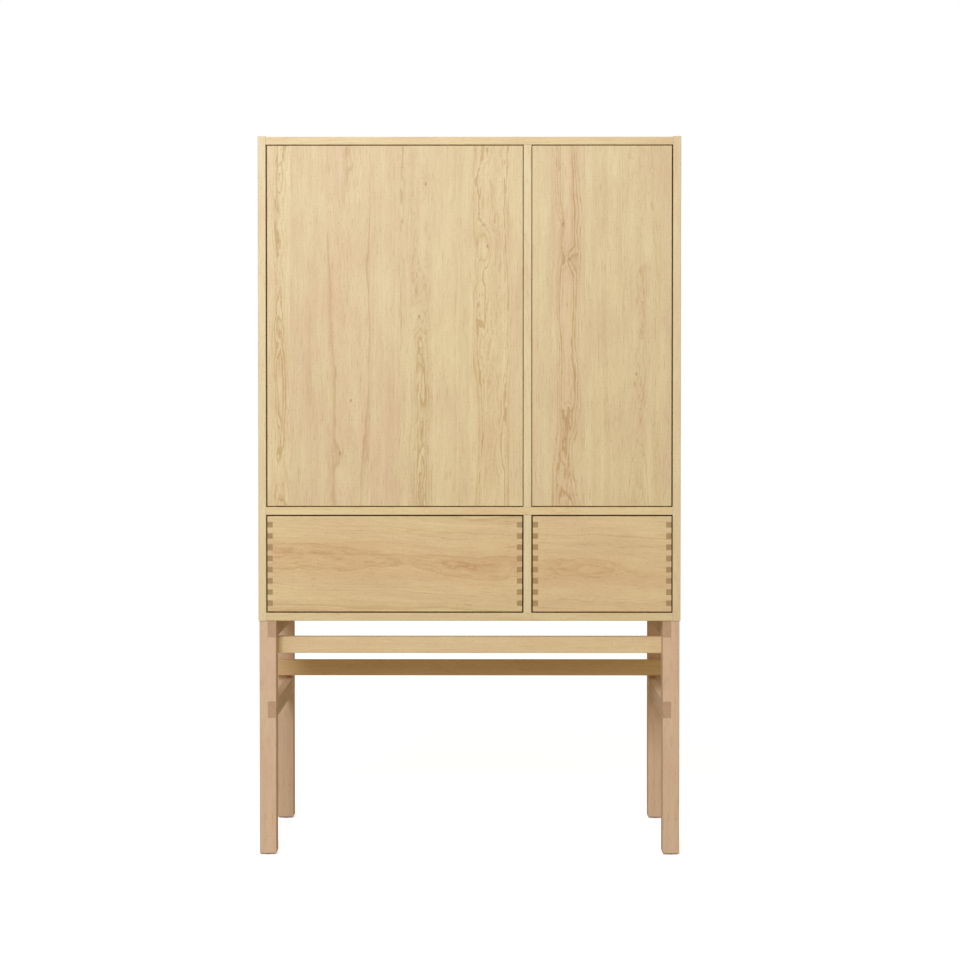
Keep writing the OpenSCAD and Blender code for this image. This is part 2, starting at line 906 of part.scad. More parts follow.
module large_drawer_front() drawer_front(large_drawer_x, large_drawer_w);
module large_drawer_side_left() drawer_side(large_drawer_x, large_drawer_x, large_drawer_w);
module large_drawer_side_right()
    drawer_side(large_drawer_x + large_drawer_w - drawer_side_t, large_drawer_x, large_drawer_w);
module large_drawer_back() drawer_back(large_drawer_x, large_drawer_w);
module large_drawer_bottom() drawer_bottom(large_drawer_x, large_drawer_w);
module small_drawer_front() drawer_front(small_drawer_x, small_drawer_w);
module small_drawer_side_left() drawer_side(small_drawer_x, small_drawer_x, small_drawer_w);
module small_drawer_side_right()
    drawer_side(small_drawer_x + small_drawer_w - drawer_side_t, small_drawer_x, small_drawer_w);
module small_drawer_back() drawer_back(small_drawer_x, small_drawer_w);
module small_drawer_bottom() drawer_bottom(small_drawer_x, small_drawer_w);

// ---------------------------------------------------------------- runners

// Children at the centre line of a drawer's two runners, on the floor of its opening
module runner_places(x, w) {
    for (cx = [x + runner_from_side, x + w - runner_from_side])
        translate([cx, runner_y, floor_z]) children();
}

// Folded steel channel along Y, open at the top
module channel(half, z, h, l) {
    translate([0, l, 0]) rotate([90, 0, 0]) linear_extrude(l) difference() {
        translate([-half, z]) square([2 * half, h]);
        translate([-half + sheet_t, z + sheet_t]) square([2 * (half - sheet_t), h]);
    }
}

module runner_screw_places(x, w) {
    runner_places(x, w) for (y = runner_screw_places_y) translate([0, y, sheet_t]) children();
}

// Fixed outer rails of both drawers, screwed to the bottom panel
module case_runner_rails() {
    color(steel_zinc) difference() {
        for (d = [[large_drawer_x, large_drawer_w], [small_drawer_x, small_drawer_w]])
            runner_places(d[0], d[1]) channel(case_rail_half, 0, case_rail_h, runner_l);
        for (d = [[large_drawer_x, large_drawer_w], [small_drawer_x, small_drawer_w]])
            runner_screw_places(d[0], d[1]) countersink(runner_screw_d, sheet_t + cut);
    }
}

module runner_screws() {
    color(steel_zinc) for (d = [[large_drawer_x, large_drawer_w], [small_drawer_x, small_drawer_w]])
        runner_screw_places(d[0], d[1]) wood_screw(runner_screw_d, short_screw_l);
}

// Travelling middle rails of one drawer
module mid_rails(x, w) {
    color(steel_zinc) runner_places(x, w) channel(mid_rail_half, mid_rail_z, mid_rail_h, runner_l);
}

// Inner rails of one drawer, an upturned channel under the drawer bottom
module drawer_rails(x, w) {
    color(steel_zinc) runner_places(x, w) translate([0, 0, drawer_bottom_z - floor_z])
        mirror([0, 0, 1]) channel(drawer_rail_half, 0, drawer_rail_h, runner_l);
}

// Locking clips under a drawer's bottom, inboard of the front ends of its rails
module drawer_clips(x, w) {
    reach = runner_from_side + case_rail_half + clip_gap;
    color(plastic_grey) for (cx = [x + reach, x + w - reach - clip_size[0]])
        translate([cx, front_y + drawer_front_t, drawer_bottom_z - clip_size[2]]) {
            bar_y(clip_size, clip_ease);
            translate([clip_size[0] / 2, clip_size[1] / 3, -clip_tab_h])
                cylinder(d = clip_tab_d, h = clip_tab_h + 1);
        }
}

module large_drawer_mid_rails() mid_rails(large_drawer_x, large_drawer_w);
module large_drawer_rails() drawer_rails(large_drawer_x, large_drawer_w);
module small_drawer_mid_rails() mid_rails(small_drawer_x, small_drawer_w);
module small_drawer_rails() drawer_rails(small_drawer_x, small_drawer_w);
module large_drawer_clips() drawer_clips(large_drawer_x, large_drawer_w);
module small_drawer_clips() drawer_clips(small_drawer_x, small_drawer_w);

// ---------------------------------------------------------------- drawing

front_leg_left();
front_leg_right();
rear_leg_left();
rear_leg_right();
upper_side_rail_left();
upper_side_rail_right();
lower_side_rail_left();
lower_side_rail_right();
front_stretcher();
rear_stretcher();
leg_glides();
joint_dowels();
stand_fixing_screws();
side_panel_left();
side_panel_right();
top_panel();
bottom_panel();
middle_panel();
upper_divider();
lower_divider();
back_panel();
back_panel_screws();
large_shelf_lower();
large_shelf_upper();
small_shelf_lower();
small_shelf_upper();
shelf_pins();
large_door_panel();
small_door_panel();
case_hinge_plates();
case_hinge_screws();
hinge_washers();
large_door_hinge_plates();
large_door_screws();
small_door_hinge_plates();
small_door_screws();
latch_bodies();
latch_screws();
large_door_latch_plunger();
large_door_strike_plate();
small_door_latch_plunger();
small_door_strike_plate();
large_drawer_front();
large_drawer_side_left();
large_drawer_side_right();
large_drawer_back();
large_drawer_bottom();
small_drawer_front();
small_drawer_side_left();
small_drawer_side_right();
small_drawer_back();
small_drawer_bottom();
case_runner_rails();
runner_screws();
large_drawer_mid_rails();
large_drawer_rails();
large_drawer_clips();
small_drawer_mid_rails();
small_drawer_rails();
small_drawer_clips();
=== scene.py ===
"""An armoire of soaped oak on a stand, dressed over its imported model.

A case of edge-glued oak boards holds two flush doors over two finger-jointed drawers, and stands
on four square legs with half-lapped side rails and two cross stretchers. Sizes in the classes
below are millimetres, except the studio's; Blender works in metres.
"""

import json
import logging
import math
import random
from dataclasses import dataclass
from enum import Enum
from typing import Any

import bpy
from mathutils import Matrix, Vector

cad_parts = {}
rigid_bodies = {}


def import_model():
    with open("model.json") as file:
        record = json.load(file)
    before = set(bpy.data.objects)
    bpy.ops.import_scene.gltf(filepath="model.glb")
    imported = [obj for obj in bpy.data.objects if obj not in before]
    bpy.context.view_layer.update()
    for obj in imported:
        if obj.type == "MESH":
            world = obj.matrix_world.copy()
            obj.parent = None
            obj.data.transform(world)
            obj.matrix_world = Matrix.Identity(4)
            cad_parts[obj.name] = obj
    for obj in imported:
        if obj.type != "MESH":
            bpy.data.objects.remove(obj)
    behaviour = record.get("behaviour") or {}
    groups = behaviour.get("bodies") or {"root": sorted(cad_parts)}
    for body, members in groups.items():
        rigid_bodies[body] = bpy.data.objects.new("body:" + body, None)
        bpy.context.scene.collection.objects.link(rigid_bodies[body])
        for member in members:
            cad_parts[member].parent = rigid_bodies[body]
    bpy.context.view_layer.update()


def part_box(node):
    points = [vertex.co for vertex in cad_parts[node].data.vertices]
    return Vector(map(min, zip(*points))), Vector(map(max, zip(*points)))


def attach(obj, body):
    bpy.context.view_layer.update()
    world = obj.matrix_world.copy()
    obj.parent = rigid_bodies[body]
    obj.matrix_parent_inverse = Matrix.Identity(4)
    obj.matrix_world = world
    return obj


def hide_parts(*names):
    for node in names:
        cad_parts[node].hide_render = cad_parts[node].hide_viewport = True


LOG = logging.getLogger("armoire")
MM = 0.001


# ---------------------------------------------------------------- colour and nodes


def linear(hex_colour: str) -> tuple[float, float, float, float]:
    """Turns an sRGB hex colour into linear light.

    Args:
        hex_colour: The colour, such as "#D9BF94".

    Returns:
        Red, green, blue and an alpha of one.
    """
    channels = [int(hex_colour[i:i + 2], 16) / 255 for i in (1, 3, 5)]
    red, green, blue = (c / 12.92 if c <= 0.04045 else ((c + 0.055) / 1.055) ** 2.4 for c in channels)
    return red, green, blue, 1.0


def add_node(tree: bpy.types.NodeTree, kind: str, inputs: dict[Any, Any] | None = None,
             **settings: Any) -> bpy.types.Node:
    """Adds one node to a tree, with its settings and links.

    Args:
        tree: The node tree that gets the node.
        kind: The node's type name.
        inputs: What goes into its sockets, by name or number: a value, a socket, or a node, which
            stands for its first output.
        **settings: The node's own properties.

    Returns:
        The new node.
    """
    node = tree.nodes.new(kind)
    for name, value in settings.items():
        setattr(node, name, value)
    for key, value in (inputs or {}).items():
        if isinstance(value, bpy.types.Node):
            value = value.outputs[0]
        if isinstance(value, bpy.types.NodeSocket):
            tree.links.new(value, node.inputs[key])
        else:
            node.inputs[key].default_value = value
    return node


def new_material(name: str) -> tuple[bpy.types.Material, bpy.types.NodeTree]:
    """Makes an empty node material.

    Args:
        name: The material's name.

    Returns:
        The material and its node tree.
    """
    material = bpy.data.materials.new(name)
    material.use_nodes = True
    material.node_tree.nodes.clear()
    return material, material.node_tree


def select_only(piece: bpy.types.Object) -> None:
    """Selects one object, makes it active and deselects the rest.

    Args:
        piece: The object to select.
    """
    bpy.ops.object.select_all(action="DESELECT")
    piece.select_set(True)
    bpy.context.view_layer.objects.active = piece


def dress(node: str, material: bpy.types.Material) -> None:
    """Gives a CAD node its finish, in every slot it has.

    Args:
        node: The CAD node's name.
        material: The finish.
    """
    mesh = bpy.data.objects[node].data
    for slot in range(max(1, len(mesh.materials))):
        if mesh.materials:
            mesh.materials[slot] = material
        else:
            mesh.materials.append(material)
    LOG.info("dressed %s in %s", node, material.name)


# ---------------------------------------------------------------- finishes: oak


class Lie(Enum):
    """How a board lies, as the axes of its width, its thickness and its length."""

    UPRIGHT_FRONT = (0, 1, 2)
    UPRIGHT_SIDE = (1, 0, 2)
    FLAT_ACROSS = (1, 2, 0)
    EDGE_ACROSS = (2, 1, 0)
    EDGE_DEEP = (2, 0, 1)


@dataclass(frozen=True)
class Palette:
    """The colours of one kind of wood, before and after the dense part of each year's growth."""

    light: str
    dark: str
    pore: str
    yellow_cast: str
    pink_cast: str
    end_cast: str
    heart_cast: str = "#F8ECE8"


@dataclass(frozen=True)
class Stave:
    """One strip of a glued board: its width and where its tree's pith lay, in millimetres.

    pith is measured across from the strip's first edge and depth back from the board's face.
    slope is how fast the depth changes along the strip, which draws the pointed arches. pink,
    tone and wave run from 0 to 1.
    """

    width: float
    pith: float
    depth: float = 40.0
    slope: float = 0.02
    pink: float = 0.3
    tone: float = 0.5
    wave: float = 0.5


@dataclass(frozen=True)
class Knot:
    """A pin knot, by its place across and along the board, its size and its pull on the rings."""

    across: float
    along: float
    size: float = 22.0
    pull: float = 9.0
    core: float = 1.6


OAK_CASE = Palette("#EAD7B0", "#CFB180", "#9C7F55", "#FFFFF6", "#FFF8F8", "#DAD2C9")
OAK_PANEL = Palette("#E9D2A6", "#CDAA78", "#9C7F55", "#FFFFF6", "#FFF8F8", "#DAD2C9")
OAK_DOOR = Palette("#E9D5AB", "#C09E6B", "#997B52", "#FFFFF6", "#FFF6F6", "#DAD2C9")
OAK_DRAWER = Palette("#E6CDA1", "#BE9A69", "#8F7048", "#FFFFF4", "#FFF6F5", "#D0C2B2", "#FBF1EC")
OAK_STRETCHER = Palette("#ECD6AA", "#CFAA76", "#96754F", "#FFFDF6", "#FFF5F5", "#E1D7D1")
# A darker, warmer copy of the stretcher oak for the rear stretcher: painted shade for where it sits under
# the case.
OAK_REAR_PAINTED_SHADE = Palette("#E9CA98", "#C79E68", "#8F6C42", "#FFFDF2", "#FFF5F2", "#E1D7D1")
OAK_LEG = Palette("#E8CEAE", "#C4A077", "#96754F", "#FFFDF6", "#FFF5F5", "#E1D7D1")

# A ramp's colours hold 0 to 1, so a stave's values are scaled into these spans and out again.
STAVE_SPAN = 3.0
DEPTH_SPAN = 200.0
SLOPE_SPAN = 0.2
# How many times its pith a stave's place is moved along the grain, so that no two look alike.
STAVE_STAGGER = 7.3
# A step along the grain counts this much of a step across it, which draws a knot out lengthwise.
KNOT_STEP = 0.45
# What is left of a board's width becomes its last stave once it is under this, in millimetres.
LAST_STAVE = 120


@dataclass(frozen=True)
class SoapedOak:
    """Planed solid oak with a soap finish: pale, open-pored and matte, darker on its end grain.

    The figure is cut from a solid: rings round a pith that wanders, seen where the board's faces
    cross them, with fibres and pores drawn out along the grain.
    """

    name: str
    palette: Palette
    lie: Lie
    staves: tuple[Stave, ...]
    knots: tuple[Knot, ...] = ()
    tilt: float = 0.0
    ring: float = 2.6
    band: float = 13.0
    contrast: float = 1.0
    heart: float = 0.0
    sway_across: float = 44.0
    sway_deep: float = 60.0
    ripple_deep: float = 16.0

    def make(self, low: Vector, high: Vector) -> bpy.types.Material:
        """Builds the material for a board.

        Args:
            low: The board's lowest corner, in metres.
            high: Its highest corner.

        Returns:
            The finished material.
        """
        material, tree = new_material(self.name)
        width_axis, thick_axis, length_axis = self.lie.value
        width = (high[width_axis] - low[width_axis]) / MM
        place = add_node(tree, "ShaderNodeTexCoord")
        axes = add_node(tree, "ShaderNodeSeparateXYZ", {0: place.outputs["Object"]})
        turned = add_node(tree, "ShaderNodeCombineXYZ", {
            0: axes.outputs[width_axis], 1: axes.outputs[thick_axis], 2: axes.outputs[length_axis]})
        centred = add_node(tree, "ShaderNodeMapping", {
            "Vector": turned, "Scale": (MM, MM, MM), "Rotation": (0.0, self.tilt, 0.0),
            "Location": (low[width_axis], low[thick_axis], low[length_axis])}, vector_type="TEXTURE")
        local = add_node(tree, "ShaderNodeSeparateXYZ", {0: centred})
        across, deep, along = local.outputs
        cut = self._stave_values(tree, across, width)
        solid = add_node(tree, "ShaderNodeCombineXYZ", {
            0: across, 1: deep, 2: add_node(tree, "ShaderNodeMath", {
                0: cut["pith"], 1: STAVE_STAGGER, 2: along}, operation="MULTIPLY_ADD")})
        radius = self._ring_radius(tree, cut, solid, local)
        signals = self._signals(tree, radius, solid, cut)
        colour = self._colour(tree, signals, cut, local)
        end = self._end_grain(tree, place, length_axis)
        shade = add_node(tree, "ShaderNodeMix", {
            0: end, 6: colour.outputs[2], 7: linear(self.palette.end_cast)},
            data_type="RGBA", blend_type="MULTIPLY")
        self._surface(tree, shade.outputs[2], signals)
        return material

    def _stave_values(self, tree: bpy.types.NodeTree, across: bpy.types.NodeSocket,
                      width: float) -> dict[str, bpy.types.NodeSocket]:
        """Looks up which stave a point lies in.

        Args:
            tree: The material's tree.
            across: The distance across the board.
            width: The board's width.

        Returns:
            The stave's pith, depth, slope, pink, tone and wave, as sockets.
        """
        share = add_node(tree, "ShaderNodeMath", {0: across, 1: width}, operation="DIVIDE")
        ramps = []
        total = sum(stave.width for stave in self.staves)
        for part in range(2):
            ramp = add_node(tree, "ShaderNodeValToRGB", {0: share})
            ramp.color_ramp.interpolation = "CONSTANT"
            start = 0.0
            for number, stave in enumerate(self.staves):
                stops = ramp.color_ramp.elements
                stop = stops[number] if number < 2 else stops.new(start / total)
                stop.position = start / total
                pith = (start + stave.pith) * width / total
                stop.color = ((pith / width + 1) / STAVE_SPAN, stave.depth / DEPTH_SPAN,
                              stave.slope / SLOPE_SPAN + 0.5, 1.0) if part == 0 else (
                    stave.pink, stave.tone, stave.wave, 1.0)
                start += stave.width
            if len(self.staves) == 1:
                ramp.color_ramp.elements[1].color = ramp.color_ramp.elements[0].color
            ramps.append(add_node(tree, "ShaderNodeSeparateColor", {0: ramp}))
        rules = {"pith": (0, 0, STAVE_SPAN * width, -width), "depth": (0, 1, DEPTH_SPAN, 0.0),
                 "slope": (0, 2, SLOPE_SPAN, -0.5 * SLOPE_SPAN)}
        found = {key: add_node(tree, "ShaderNodeMath", {
            0: ramps[ramp].outputs[out], 1: scale, 2: shift}, operation="MULTIPLY_ADD").outputs[0]
            for key, (ramp, out, scale, shift) in rules.items()}
        found.update(pink=ramps[1].outputs[0], tone=ramps[1].outputs[1], wave=ramps[1].outputs[2])
        return found

    def _ring_radius(self, tree: bpy.types.NodeTree, cut: dict[str, bpy.types.NodeSocket],
                     solid: bpy.types.Node, local: bpy.types.Node) -> bpy.types.Node:
        """Works out each point's distance from the pith, which bends and ripples along the tree.

        Args:
            tree: The material's tree.
            cut: The stave's values.
            solid: The place in the tree, in millimetres.
            local: The place on the board.

        Returns:
            The node that gives the distance in millimetres.
        """
        across, deep, along = local.outputs
        # The trunk bends over a hand's breadth and ripples over a finger's length.
        bend = add_node(tree, "ShaderNodeTexNoise", {
            "Vector": add_node(tree, "ShaderNodeVectorMath", {
                0: solid, 1: (1 / 70, 1 / 70, 1 / 260)}, operation="MULTIPLY"),
            "Scale": 1.0, "Detail": 2.0, "Roughness": 0.45})
        ripple = add_node(tree, "ShaderNodeTexNoise", {
            "Vector": add_node(tree, "ShaderNodeVectorMath", {
                0: solid, 1: (1 / 16, 1 / 16, 1 / 46)}, operation="MULTIPLY"),
            "Scale": 1.0, "Detail": 3.0, "Roughness": 0.55})
        moved = add_node(tree, "ShaderNodeVectorMath", {
            0: bend.outputs["Color"], 1: (0.5, 0.5, 0.5)}, operation="SUBTRACT")
        bent = add_node(tree, "ShaderNodeSeparateXYZ", {0: add_node(tree, "ShaderNodeVectorMath", {
            0: moved, "Scale": cut["wave"]}, operation="SCALE")})
        rippled = add_node(tree, "ShaderNodeMath", {0: add_node(tree, "ShaderNodeMath", {
            0: ripple.outputs[0], 1: 0.5}, operation="SUBTRACT"), 1: cut["wave"]}, operation="MULTIPLY")
        aside = add_node(tree, "ShaderNodeMath", {
            0: bent.outputs[0], 1: self.sway_across, 2: add_node(tree, "ShaderNodeMath", {
                0: across, 1: cut["pith"]}, operation="SUBTRACT")}, operation="MULTIPLY_ADD")
        sunk = add_node(tree, "ShaderNodeMath", {0: add_node(tree, "ShaderNodeMath", {
            0: cut["slope"], 1: along, 2: cut["depth"]}, operation="MULTIPLY_ADD"), 1: deep},
            operation="SUBTRACT")
        swayed = add_node(tree, "ShaderNodeMath", {0: bent.outputs[1], 1: self.sway_deep, 2: sunk},
                          operation="MULTIPLY_ADD")
        wavy = add_node(tree, "ShaderNodeMath", {0: rippled, 1: self.ripple_deep, 2: swayed},
                        operation="MULTIPLY_ADD")
        radius = add_node(tree, "ShaderNodeVectorMath", {
            0: add_node(tree, "ShaderNodeCombineXYZ", {0: aside, 1: wavy})}, operation="LENGTH")
        # Bundles of fibre run past each ring, so its edge is drawn out into flames 5 mm wide.
        flame = add_node(tree, "ShaderNodeTexNoise", {
            "Vector": add_node(tree, "ShaderNodeVectorMath", {
                0: solid, 1: (1 / 5, 1 / 5, 1 / 70)}, operation="MULTIPLY"),
            "Scale": 1.0, "Detail": 2.0, "Roughness": 0.6})
        lick = add_node(tree, "ShaderNodeMath", {0: flame, 1: add_node(tree, "ShaderNodeMapRange", {
            "Value": cut["wave"], "To Min": 2.0, "To Max": 8.0})}, operation="MULTIPLY")
        value = add_node(tree, "ShaderNodeMath", {
            0: radius.outputs["Value"], 1: lick}, operation="ADD").outputs[0]
        for knot in self.knots:
            near = add_node(tree, "ShaderNodeMapRange", {
                "Value": self._knot_distance(tree, knot, across, along), "From Min": 0.0,
                "From Max": knot.size, "To Min": knot.pull, "To Max": 0.0},
                interpolation_type="SMOOTHERSTEP")
            value = add_node(tree, "ShaderNodeMath", {0: value, 1: near}, operation="ADD").outputs[0]
        return value.node

    def _knot_distance(self, tree: bpy.types.NodeTree, knot: Knot, across: bpy.types.NodeSocket,
                       along: bpy.types.NodeSocket) -> bpy.types.NodeSocket:
        """Measures how far a point is from a knot, with the knot drawn out along the grain.

        Args:
            tree: The material's tree.
            knot: The knot.
            across: The distance across the board.
            along: The distance along the board.

        Returns:
            The distance in millimetres, as a socket.
        """
        spot = add_node(tree, "ShaderNodeCombineXYZ", {
            0: across, 1: add_node(tree, "ShaderNodeMath", {0: along, 1: KNOT_STEP}, operation="MULTIPLY")})
        far = add_node(tree, "ShaderNodeVectorMath", {
            0: spot, 1: (knot.across, knot.along * KNOT_STEP, 0.0)}, operation="DISTANCE")
        return far.outputs["Value"]

    def _signals(self, tree: bpy.types.NodeTree, radius: bpy.types.Node, solid: bpy.types.Node,
                 cut: dict[str, bpy.types.NodeSocket]) -> dict[str, bpy.types.NodeSocket]:
        """Draws the year rings, broad bands, fibres, streaks, blotches and pores.

        Args:
            tree: The material's tree.
            radius: The distance from the pith.
            solid: The place in the tree.
            cut: The stave's values.

        Returns:
            Each as a socket that runs from 0 to 1.
        """
        value = radius.outputs["Value"]
        # Years are uneven: a slow one-dimensional noise stretches and crowds the rings.
        uneven = add_node(tree, "ShaderNodeTexNoise", {
            "W": add_node(tree, "ShaderNodeMath", {0: value, 1: 1 / 14, 2: cut["depth"]},
                          operation="MULTIPLY_ADD"),
            "Scale": 1.0, "Detail": 1.0}, noise_dimensions="1D")
        years = add_node(tree, "ShaderNodeMath", {
            0: uneven.outputs[0], 1: 2.2, 2: add_node(tree, "ShaderNodeMath", {
                0: value, 1: self.ring}, operation="DIVIDE")}, operation="MULTIPLY_ADD")
        phase = add_node(tree, "ShaderNodeMath", {0: years}, operation="FRACT")
        # Early wood starts at once and fades into the dense late wood.
        early = add_node(tree, "ShaderNodeValToRGB", {0: phase})
        early.color_ramp.interpolation = "EASE"
        early.color_ramp.elements[0].color = (0.55, 0.55, 0.55, 1.0)
        early.color_ramp.elements[1].color = (0.55, 0.55, 0.55, 1.0)
        for place, shade in ((0.1, 1.0), (0.34, 0.45), (0.62, 0.08), (0.92, 0.0)):
            early.color_ramp.elements.new(place).color = (shade, shade, shade, 1.0)
        found = {"radius": value, "early": early.outputs[0], "bands": self._bands(tree, value, uneven, cut)}
        grains = {  # millimetres across and along, detail, and where the noise is cut
            "fibre": ((1.1, 1.1, 42.0), 3.0, 0.3, 0.7),
            "fleck": ((4.2, 4.2, 40.0), 2.0, 0.3, 0.72),
            "streak": ((17.0, 17.0, 210.0), 3.0, 0.3, 0.7),
            "blotch": ((60.0, 60.0, 210.0), 2.0, 0.3, 0.7),
            "pores": ((0.55, 0.55, 8.0), 0.0, 0.62, 0.74),
            "dash": ((3.4, 3.4, 44.0), 1.0, 0.6, 0.74),
        }
        for key, (size, detail, low, high) in grains.items():
            noise = add_node(tree, "ShaderNodeTexNoise", {
                "Vector": add_node(tree, "ShaderNodeVectorMath", {
                    0: solid, 1: tuple(1 / side for side in size)}, operation="MULTIPLY"),
                "Scale": 1.0, "Detail": detail, "Roughness": 0.6})
            found[key] = self._spread(tree, noise, low, high)
        open_pores = add_node(tree, "ShaderNodeMath", {0: found["early"], 1: 0.8, 2: 0.2},
                              operation="MULTIPLY_ADD")
        found["pores"] = add_node(tree, "ShaderNodeMath", {0: found["pores"], 1: open_pores},
                                  operation="MULTIPLY").outputs[0]
        return found

    def _bands(self, tree: bpy.types.NodeTree, value: bpy.types.NodeSocket, uneven: bpy.types.Node,
               cut: dict[str, bpy.types.NodeSocket]) -> bpy.types.NodeSocket:
        """Draws runs of good and lean years, sharp on the outside of each and soft on the inside.

        Args:
            tree: The material's tree.
            value: The distance from the pith.
            uneven: The noise that stretches the years.
            cut: The stave's values.

        Returns:
            The bands, as a socket from 0 to 1.
        """
        runs = add_node(tree, "ShaderNodeMath", {0: uneven.outputs[0], 1: 2.6, 2: add_node(
            tree, "ShaderNodeMath", {0: value, 1: self.band}, operation="DIVIDE")},
            operation="MULTIPLY_ADD")
        step = add_node(tree, "ShaderNodeValToRGB", {0: add_node(
            tree, "ShaderNodeMath", {0: runs}, operation="FRACT")})
        stops = step.color_ramp.elements
        stops[0].color = (0.1, 0.1, 0.1, 1.0)
        stops[1].color = (0.1, 0.1, 0.1, 1.0)
        for place, shade in ((0.05, 1.0), (0.2, 0.42), (0.6, 0.08)):
            stops.new(place).color = (shade, shade, shade, 1.0)
        strength = add_node(tree, "ShaderNodeTexNoise", {
            "W": add_node(tree, "ShaderNodeMath", {0: value, 1: 1 / (2.2 * self.band), 2: cut["pith"]},
                          operation="MULTIPLY_ADD"),
            "Scale": 1.0, "Detail": 2.0}, noise_dimensions="1D")
        uneven_step = add_node(tree, "ShaderNodeMath", {
            0: step, 1: self._spread(tree, strength, 0.34, 0.66)}, operation="MULTIPLY")
        shown = add_node(tree, "ShaderNodeMapRange", {
            "Value": cut["wave"], "From Min": 0.2, "From Max": 0.9, "To Min": 0.1})
        return add_node(tree, "ShaderNodeMath", {0: uneven_step, 1: shown},
                        operation="MULTIPLY").outputs[0]

    def _spread(self, tree: bpy.types.NodeTree, noise: bpy.types.Node, low: float,
                high: float) -> bpy.types.NodeSocket:
        """Spreads a noise between two of its values over 0 to 1.

        Args:
            tree: The material's tree.
            noise: The noise texture.
            low: The value that becomes 0.
            high: The value that becomes 1.

        Returns:
            The spread noise, as a socket.
        """
        return add_node(tree, "ShaderNodeMapRange", {
            "Value": noise, "From Min": low, "From Max": high}).outputs[0]

    def _colour(self, tree: bpy.types.NodeTree, signals: dict[str, bpy.types.NodeSocket],
                cut: dict[str, bpy.types.NodeSocket], local: bpy.types.Node) -> bpy.types.Node:
        """Mixes the wood's colour from its signals.

        Args:
            tree: The material's tree.
            signals: The rings, bands, fibres, streaks, blotches and pores.
            cut: The stave's values.
            local: The place on the board.

        Returns:
            The Mix node whose third output is the colour.
        """
        weights = {"early": 0.08, "bands": 0.8, "fibre": 0.15, "fleck": 0.13, "streak": 0.2,
                   "blotch": 0.16, "dash": 0.3}
        dark: Any = 0.0
        for key, weight in weights.items():
            dark = add_node(tree, "ShaderNodeMath", {0: signals[key], 1: weight * self.contrast, 2: dark},
                            operation="MULTIPLY_ADD")
        wood = add_node(tree, "ShaderNodeMix", {
            0: dark, 6: linear(self.palette.light), 7: linear(self.palette.dark)}, data_type="RGBA")
        flush = add_node(tree, "ShaderNodeMath", {
            0: add_node(tree, "ShaderNodeMath", {0: signals["blotch"], 1: 0.5}, operation="SUBTRACT"),
            1: 0.9, 2: cut["pink"]}, operation="MULTIPLY_ADD", use_clamp=True)
        cast = add_node(tree, "ShaderNodeMix", {
            0: flush, 6: linear(self.palette.yellow_cast), 7: linear(self.palette.pink_cast)},
            data_type="RGBA")
        tinted = add_node(tree, "ShaderNodeMix", {0: 1.0, 6: wood.outputs[2], 7: cast.outputs[2]},
                          data_type="RGBA", blend_type="MULTIPLY")
        if self.heart > 0:
            # The heartwood near the pith is browner and pinker than the wood round it.
            old = add_node(tree, "ShaderNodeMapRange", {
                "Value": signals["radius"], "From Min": 0.2 * self.heart, "From Max": self.heart,
                "To Min": 1.0, "To Max": 0.0}, interpolation_type="SMOOTHSTEP")
            tinted = add_node(tree, "ShaderNodeMix", {
                0: old, 6: tinted.outputs[2], 7: linear(self.palette.heart_cast)},
                data_type="RGBA", blend_type="MULTIPLY")
        light = add_node(tree, "ShaderNodeMapRange", {
            "Value": cut["tone"], "To Min": 0.9, "To Max": 1.1})
        toned = add_node(tree, "ShaderNodeVectorMath", {0: tinted.outputs[2], "Scale": light},
                         operation="SCALE")
        colour = add_node(tree, "ShaderNodeMix", {
            0: add_node(tree, "ShaderNodeMath", {0: signals["pores"], 1: 0.55}, operation="MULTIPLY"),
            6: toned, 7: linear(self.palette.pore)}, data_type="RGBA")
        for knot in self.knots:
            near = add_node(tree, "ShaderNodeMapRange", {
                "Value": self._knot_distance(tree, knot, local.outputs[0], local.outputs[2]),
                "From Min": knot.core * 0.5, "From Max": knot.core * 1.6, "To Min": 0.8, "To Max": 0.0})
            colour = add_node(tree, "ShaderNodeMix", {
                0: near, 6: colour.outputs[2], 7: linear(self.palette.pore)}, data_type="RGBA")
        return colour

    def _end_grain(self, tree: bpy.types.NodeTree, place: bpy.types.Node,
                   length_axis: int) -> bpy.types.Node:
        """Finds the faces cut across the grain.

        Args:
            tree: The material's tree.
            place: The texture coordinates.
            length_axis: The axis that the grain runs along.

        Returns:
            A node that gives 1 on end grain and 0 elsewhere.
        """
        facing = add_node(tree, "ShaderNodeSeparateXYZ", {0: place.outputs["Normal"]})
        return add_node(tree, "ShaderNodeMapRange", {
            "Value": add_node(tree, "ShaderNodeMath", {0: facing.outputs[length_axis]},
                              operation="ABSOLUTE"), "From Min": 0.6, "From Max": 0.9})

    def _surface(self, tree: bpy.types.NodeTree, colour: bpy.types.NodeSocket,
                 signals: dict[str, bpy.types.NodeSocket]) -> None:
        """Makes the matte, open-pored surface and its output.

        Args:
            tree: The material's tree.
            colour: The wood's colour.
            signals: The rings, fibres and pores that also shape the surface.
        """
        height = add_node(tree, "ShaderNodeMath", {
            0: signals["pores"], 1: -1.0, 2: add_node(tree, "ShaderNodeMath", {
                0: signals["fibre"], 1: 0.3}, operation="MULTIPLY")}, operation="MULTIPLY_ADD")
        relief = add_node(tree, "ShaderNodeBump", {
            "Height": height, "Strength": 0.35, "Distance": 0.12 * MM})
        matte = add_node(tree, "ShaderNodeMapRange", {
            "Value": signals["early"], "To Min": 0.5, "To Max": 0.62})
        shader = add_node(tree, "ShaderNodeBsdfPrincipled", {
            "Base Color": colour, "Roughness": matte, "IOR": 1.48, "Normal": relief})
        add_node(tree, "ShaderNodeOutputMaterial", {"Surface": shader})


